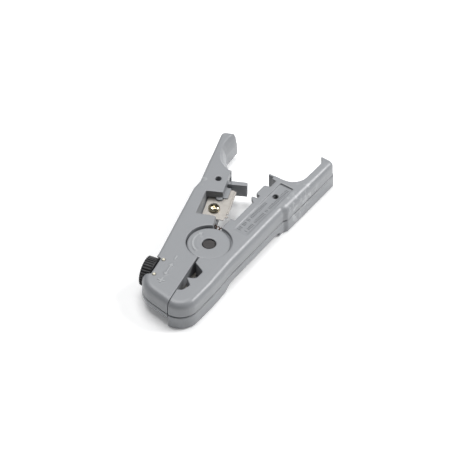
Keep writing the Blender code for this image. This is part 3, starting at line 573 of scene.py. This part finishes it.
def stroke_row(seed, start, end, pitch, height, width, rise, share):
    """A row of low upright strokes from start to end, all in mm."""
    way = Vector(end) - Vector(start)
    sizes = {
        "Count": int(way.length / pitch) + 1, "Pitch": (pitch, 0.0, 0.0), "Stroke": (width, height, rise),
        "Share Kept": share, "Seed": seed,
    }
    tree, given = new_tree("stroke_row", sizes)
    line = add(tree, "GeometryNodeMeshLine", inputs={"Count": given["Count"], "Offset": given["Pitch"]})
    kept = add(tree, "FunctionNodeRandomValue", {"data_type": "BOOLEAN"})
    tree.links.new(given["Share Kept"], kept.inputs["Probability"])
    tree.links.new(given["Seed"], kept.inputs["Seed"])
    tall = add(tree, "FunctionNodeRandomValue", {"data_type": "FLOAT_VECTOR"})
    tall.inputs[0].default_value = LEAST_SCALE
    tall.inputs[1].default_value = MOST_SCALE
    tree.links.new(given["Seed"], tall.inputs["Seed"])
    stroke = add(tree, "GeometryNodeMeshCube", inputs={"Size": given["Stroke"]})
    placed = add(tree, "GeometryNodeInstanceOnPoints", inputs={
        "Points": line.outputs["Mesh"], "Instance": stroke.outputs["Mesh"],
        "Selection": kept.outputs[3], "Scale": tall.outputs[0],
    })
    mesh = grown(tree, placed.outputs["Instances"], grey_abs, sizes)
    along = way.normalized()
    across = Vector((0, 0, 1)).cross(along).normalized()
    lift = along.cross(across)
    turn = Matrix((along, across, lift)).transposed().to_4x4()
    mesh.transform(Matrix.Translation(start) @ turn)
    bm = bmesh.new()
    bm.from_mesh(mesh)
    bmesh.ops.bevel(bm, geom=bm.edges[:], offset=STROKE_EDGE, segments=1, affect="EDGES")
    bm.to_mesh(mesh)
    bm.free()
    return mesh


PANEL_NEAR_Y, PANEL_FAR_Y, PANEL_NEAR, PANEL_FAR = 13.9, 52.1, 0.3, 0.95
STROKE_ABOVE = 0.05
LETTERING = {"pitch": 0.92, "height": 2.2, "width": 0.42, "rise": 0.3, "share": 0.8}


def on_panel(x, y):
    """A place on the panel's sloping floor, raised by the little that a stroke's middle stands above it."""
    depth = PANEL_NEAR + (PANEL_FAR - PANEL_NEAR) * (y - PANEL_NEAR_Y) / (PANEL_FAR_Y - PANEL_NEAR_Y)
    return (x, y, deck_z - depth + STROKE_ABOVE)


rows = [
    stroke_row(4, on_panel(6.7, 15.4), on_panel(6.9, 37.6), **LETTERING),
    stroke_row(9, on_panel(10.2, 16.2), on_panel(10.5, 50.6), **LETTERING),
]
finish_piece("label_strokes", joined(rows), "right_handle", grey_abs, sharp_degrees=20)

# %% [markdown]
# ## The knurled knob
#
# The knob is moulded nylon with thirty-two half-round ridges for the thumb. Its core is a turned shape with
# a dish round the screw's head. The ridges repeat round a circle, so Geometry Nodes puts one small cylinder
# on each point of a circle. Both parts are drawn about their own axis and then moved to the joint's place.

# %% Knob core and ridges
KNOB_R, KNOB_FACE, KNOB_BACK, RIDGES, RIDGE_R = 7.4, -1.3, 4.2, 32, 0.45
BORE_R, CORE_R, DISH_R, RIM_R = 1.8, 6.92, 4.5, 4.9
DISH_DEEP, ENDS_FREE, KNOB_STEPS = 0.6, 0.7, 96
core = lathed([
    (BORE_R, KNOB_FACE + DISH_DEEP), (DISH_R, KNOB_FACE + DISH_DEEP), (RIM_R, KNOB_FACE), (6.3, KNOB_FACE),
    (6.75, KNOB_FACE + 0.2), (CORE_R, KNOB_FACE + 0.6), (CORE_R, KNOB_BACK - 0.5), (6.7, KNOB_BACK),
    (BORE_R, KNOB_BACK), (BORE_R, KNOB_FACE + DISH_DEEP),
], KNOB_STEPS)
ridge_sizes = {
    "Ridges": RIDGES, "Circle Radius": KNOB_R - RIDGE_R, "Ridge Radius": RIDGE_R,
    "Ridge Length": KNOB_BACK - KNOB_FACE - ENDS_FREE,
}
tree, given = new_tree("knob_ridges", ridge_sizes)
circle = add(tree, "GeometryNodeMeshCircle", inputs={
    "Vertices": given["Ridges"], "Radius": given["Circle Radius"],
})
ridge = add(tree, "GeometryNodeMeshCylinder", inputs={
    "Vertices": 14, "Radius": given["Ridge Radius"], "Depth": given["Ridge Length"],
})
round_the_rim = add(tree, "GeometryNodeInstanceOnPoints", inputs={
    "Points": circle.outputs["Mesh"], "Instance": ridge.outputs["Mesh"],
})
ridges = grown(tree, round_the_rim.outputs["Instances"], knob_nylon, ridge_sizes)
ridges.transform(Matrix.Translation((0, 0, (KNOB_BACK + KNOB_FACE) / 2)))
finish_piece("knurled_knob", joined([core, ridges], KNOB_PLACE), "knob", knob_nylon,
             ("depth_knob",), 35)

# %% [markdown]
# ## The spring
#
# A small compression spring pushes the handles apart. It is a helix of round wire, a shape with a rule, so
# the Spiral node makes its centre line and Curve to Mesh gives it thickness. As the handles close it really
# gets shorter; here it is drawn at one length and rides on neither the lever nor the right handle.

# %% Coil the spring
SPRING_START, SPRING_END = Vector((-9.4, 13.7, 9.6)), Vector((2.0, 13.7, 9.6))
TURNS, COIL_R, WIRE_R = 6.5, 1.57, 0.28
spring_sizes = {
    "Turns": TURNS, "Coil Radius": COIL_R, "Wire Radius": WIRE_R,
    "Length": (SPRING_END - SPRING_START).length,
}
tree, given = new_tree("compression_spring", spring_sizes)
helix = add(tree, "GeometryNodeCurveSpiral", inputs={
    "Resolution": 28, "Rotations": given["Turns"], "Start Radius": given["Coil Radius"],
    "End Radius": given["Coil Radius"], "Height": given["Length"],
})
wire = add(tree, "GeometryNodeCurvePrimitiveCircle", inputs={
    "Resolution": 10, "Radius": given["Wire Radius"],
})
coil = add(tree, "GeometryNodeCurveToMesh", inputs={
    "Curve": helix.outputs["Curve"], "Profile Curve": wire.outputs["Curve"], "Fill Caps": True,
})
spring_mesh = grown(tree, coil.outputs["Mesh"], spring_wire, spring_sizes)
lay_down = Matrix.Translation(SPRING_START) @ Matrix.Rotation(math.radians(90), 4, "Y")
spring_mesh = joined([spring_mesh], lay_down)
spring_mesh.materials.append(spring_wire)
spring_mesh.shade_smooth()
spring = link("coil_spring", spring_mesh)
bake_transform(spring)
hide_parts("handle_spring")
print("spring:", len(spring_mesh.polygons), "faces")

# %% [markdown]
# ## The cutter and its screw
#
# The cutter is two thin layers of ground steel. The upper one is a plate with fine teeth, and the lower one
# is a serrated lip that stands out beyond it, with a small hooked tooth at its near end. Both are drawn as
# outlines in the closed pose and turned with the lever.

# %% Cutter plate and lip
TOOTH_PITCH, TOOTH_RISES = 1.1, 0.6
LOW_B, HIGH_B, PLATE_A, LIP_A = 19.9, 40.4, 2.3, 3.25
SCREW_AT, BOSS_AT = Vector((-4.3, 26.1)), Vector((-3.6, 33.6))
SCREW_HOLE_R, BOSS_HOLE_R, ON_AXIS = 1.75, 1.95, 0.001
PLATE_SPLIT = plate_low + 0.4


def toothed(base_a, low_b, high_b, depth):
    """A row of pointed teeth along the lever, from low_b to high_b."""
    row = []
    count = int((high_b - low_b) / TOOTH_PITCH)
    for k in range(count):
        row.append((base_a - depth, low_b + k * TOOTH_PITCH))
        row.append((base_a, low_b + (k + TOOTH_RISES) * TOOTH_PITCH))
    return row


upper_plate = solid(
    [(-8.8, LOW_B + 0.5), (-8.4, LOW_B), (PLATE_A - 0.4, LOW_B),
     *toothed(PLATE_A, LOW_B + 0.7, HIGH_B - 0.6, 0.3),
     (PLATE_A - 0.3, HIGH_B), (-8.8, HIGH_B)], PLATE_SPLIT, plate_high, 0.08)
lower_lip = solid(
    [(0.8, LOW_B + 4.6), (LIP_A - 0.9, LOW_B + 4.6), *toothed(LIP_A, LOW_B + 4.9, HIGH_B - 0.6, 0.32),
     (LIP_A - 0.3, HIGH_B), (0.8, HIGH_B)], plate_low, PLATE_SPLIT + 0.02, 0.06)
hook = solid(
    [(1.2, LOW_B + 2.2), (2.5, LOW_B + 2.2), (3.7, LOW_B + 2.7), (2.9, LOW_B + 3.5), (2.2, LOW_B + 4.0),
     (1.2, LOW_B + 4.0)], plate_low + 0.02, PLATE_SPLIT + 0.01, 0.05)


def bored(mesh, centre, radius):
    """The plate with a round hole through it."""
    drill = lathed([(ON_AXIS, plate_low - 2), (radius, plate_low - 2), (radius, plate_high + 2),
                    (ON_AXIS, plate_high + 2)], 32)
    drill.transform(Matrix.Translation((centre.x, centre.y, 0)))
    return cut(mesh, [drill])


upper_plate = bored(bored(upper_plate, SCREW_AT, SCREW_HOLE_R), BOSS_AT, BOSS_HOLE_R)
finish_piece("toothed_cutter", joined([upper_plate, lower_lip, hook], LEVER_TURN), "lever",
             blade_steel, ("cutter_blade",), 25)

# %% [markdown]
# ### The screw that holds the cutter
#
# It is a pan head with a cross recess: a shank and dome turned as one shape, and two tapered bars taken out
# of the dome a quarter turn apart.

# %% Cross-recessed pan head screw
HEAD_ABOVE_PLATE, SHANK_R, SHANK_LONG, HEAD_STEPS = 0.3, 1.35, 3.6, 64
RECESS_TURN = 12
head_z = plate_high + HEAD_ABOVE_PLATE
pan_head = lathed([
    (ON_AXIS, head_z - SHANK_LONG), (1.1, head_z - SHANK_LONG), (SHANK_R, head_z - 3.3), (SHANK_R, head_z),
    (2.55, head_z), (2.78, head_z + 0.12), (2.8, head_z + 0.45), (2.72, head_z + 0.85), (2.5, head_z + 1.2),
    (2.1, head_z + 1.52), (1.5, head_z + 1.76), (0.8, head_z + 1.9), (ON_AXIS, head_z + 1.94),
], HEAD_STEPS)


def recess_bar(turn):
    """One tapered bar of the cross: wide and long at the top, small at the bottom."""
    bm = bmesh.new()
    rings = []
    for z, long, wide in ((head_z + 0.5, 0.8, 0.3), (head_z + 2.6, 2.1, 0.62)):
        corners = [(-long, -wide), (long, -wide), (long, wide), (-long, wide)]
        rings.append([bm.verts.new((x, y, z)) for x, y in corners])
    for i in range(4):
        j = (i + 1) % 4
        bm.faces.new((rings[0][i], rings[0][j], rings[1][j], rings[1][i]))
    bm.faces.new(rings[0][::-1])
    bm.faces.new(rings[1])
    bmesh.ops.recalc_face_normals(bm, faces=bm.faces)
    bm.transform(Matrix.Rotation(math.radians(turn), 4, "Z"))
    mesh = bpy.data.meshes.new("recess_bar")
    bm.to_mesh(mesh)
    bm.free()
    return mesh


pan_head = cut(pan_head, [recess_bar(RECESS_TURN), recess_bar(RECESS_TURN + 90)])
screw_place = LEVER_TURN @ Matrix.Translation((SCREW_AT.x, SCREW_AT.y, 0))
finish_piece("cutter_pan_screw", joined([pan_head], screw_place), "lever", yellow_zinc,
             ("cutter_screw",), 30)

# %% [markdown]
# ## Camera
#
# The camera looks down at the tool at 45 degrees, turned 35 degrees about the upright. It stands far away
# with a very long lens, so lines that run away from it hardly converge.

# %% Camera
CAMERA_ELEVATION = math.radians(45.0)
CAMERA_TURN = math.radians(35.0)
VIEW_WIDTH_MM = 214.7
LENS, SENSOR, CLIP_START_M = 1000.0, 36.0, 0.01
AIM_MM = (3.52, 9.09, 20.61)

look = Vector((
    -math.sin(CAMERA_TURN) * math.cos(CAMERA_ELEVATION),
    math.cos(CAMERA_TURN) * math.cos(CAMERA_ELEVATION),
    -math.sin(CAMERA_ELEVATION),
))
distance = VIEW_WIDTH_MM * MM * LENS / SENSOR
camera_data = bpy.data.cameras.new("camera")
camera_data.lens = LENS
camera_data.sensor_width = SENSOR
camera_data.clip_start = CLIP_START_M
camera = bpy.data.objects.new("camera", camera_data)
bpy.context.scene.collection.objects.link(camera)
camera.location = Vector(AIM_MM) * MM - look * distance
camera.rotation_euler = look.to_track_quat("-Z", "Y").to_euler()
bpy.context.scene.camera = camera
print("camera stands", round(distance, 2), "m away")

# %% [markdown]
# ## Light and floor
#
# Two square lamps over white paper. The key is small and stands at the right, high, so the right-hand
# rounding of the handle shines and shadows fall to the left. The other is broad and nearly overhead, which
# keeps the deck evenly lit. A dim sky fills the shade. The paper glows slightly, which keeps it white where
# the lamps fall off, and it lies 0.1 mm under the tool's base so that the two never share a plane.

# %% Lamps
SKY_STRENGTH = 0.16
right_way = Vector((math.cos(CAMERA_TURN), math.sin(CAMERA_TURN), 0.0))
far_way = Vector((-math.sin(CAMERA_TURN), math.cos(CAMERA_TURN), 0.0))


def lamp(name, right, far, up, size, watts):
    """A square area lamp placed relative to the camera's own right and far directions, in metres."""
    data = bpy.data.lights.new(name, "AREA")
    data.size = size
    data.energy = watts
    obj = bpy.data.objects.new(name, data)
    bpy.context.scene.collection.objects.link(obj)
    obj.location = right_way * right + far_way * far + Vector((0, 0, up))
    obj.rotation_euler = (-obj.location).to_track_quat("-Z", "Y").to_euler()
    return obj


lamp("key", right=0.85, far=0.25, up=0.75, size=0.46, watts=10.0)
lamp("top", right=-0.15, far=0.35, up=1.2, size=0.9, watts=13.5)

world = bpy.data.worlds.new("studio")
bpy.context.scene.world = world
world.use_nodes = True
sky = world.node_tree.nodes["Background"].inputs
sky["Color"].default_value = linear("#F4F6FA")
sky["Strength"].default_value = SKY_STRENGTH
bpy.context.scene.view_settings.view_transform = "Standard"
print("lamps:", len(bpy.data.lights), "and a sky of strength", SKY_STRENGTH)

# %% Floor
FLOOR_REACH_M, FLOOR_Z_M = 4.0, -0.0001
PAPER_GLOW = 0.12
SQUARE = ((-1, -1), (1, -1), (1, 1), (-1, 1))
floor_corners = [(x * FLOOR_REACH_M, y * FLOOR_REACH_M, FLOOR_Z_M) for x, y in SQUARE]
floor_mesh = bpy.data.meshes.new("floor")
floor_mesh.from_pydata(floor_corners, [], [(0, 1, 2, 3)])
floor = link("floor", floor_mesh)
# Uncoated white paper: fully matt.
paper = bpy.data.materials.new("white_paper")
paper.use_nodes = True
sheet = paper.node_tree.nodes["Principled BSDF"].inputs
sheet["Base Color"].default_value = linear("#FFFFFF")
sheet["Roughness"].default_value = 0.9
sheet["Emission Color"].default_value = linear("#FFFFFF")
sheet["Emission Strength"].default_value = PAPER_GLOW
floor_mesh.materials.append(paper)
print("floor at", round(FLOOR_Z_M / MM, 2), "mm")

# %% [markdown]
# ## Parts carried over as they are
#
# Screws, washers, pins, the blade and its slide are small or mostly hidden, and their working shapes do as
# they are. They keep those shapes and only get the finish of the real thing. The small parts that the pieces
# above replace are listed too, so their plain shapes carry the right finish as well.

# %% Carried-over parts get their finishes
FINISHES = {
    "case_screw_front": zinc_steel, "case_screw_middle": zinc_steel, "case_screw_rear": zinc_steel,
    "cover_screw_front": zinc_steel, "cover_screw_middle": zinc_steel, "cover_screw_rear": zinc_steel,
    "pivot_pin": pin_acetal, "pivot_washer": zinc_steel, "pivot_clip": zinc_steel,
    "handle_spring": spring_wire, "cutter_blade": blade_steel, "cutter_screw": yellow_zinc,
    "threaded_insert": turned_brass, "knob_pin_front": ivory_nylon, "knob_pin_rear": ivory_nylon,
    "screw_retainer": zinc_steel, "depth_knob": knob_nylon, "adjusting_screw": zinc_steel,
    "blade_carriage": knob_nylon, "stripping_blade": blade_steel, "stripping_blade_screw": zinc_steel,
}
for node, finish in FINISHES.items():
    mesh = frame["nodes"][node].data
    mesh.materials.clear()
    mesh.materials.append(finish)
print("finished as they are:", len(FINISHES), "parts")
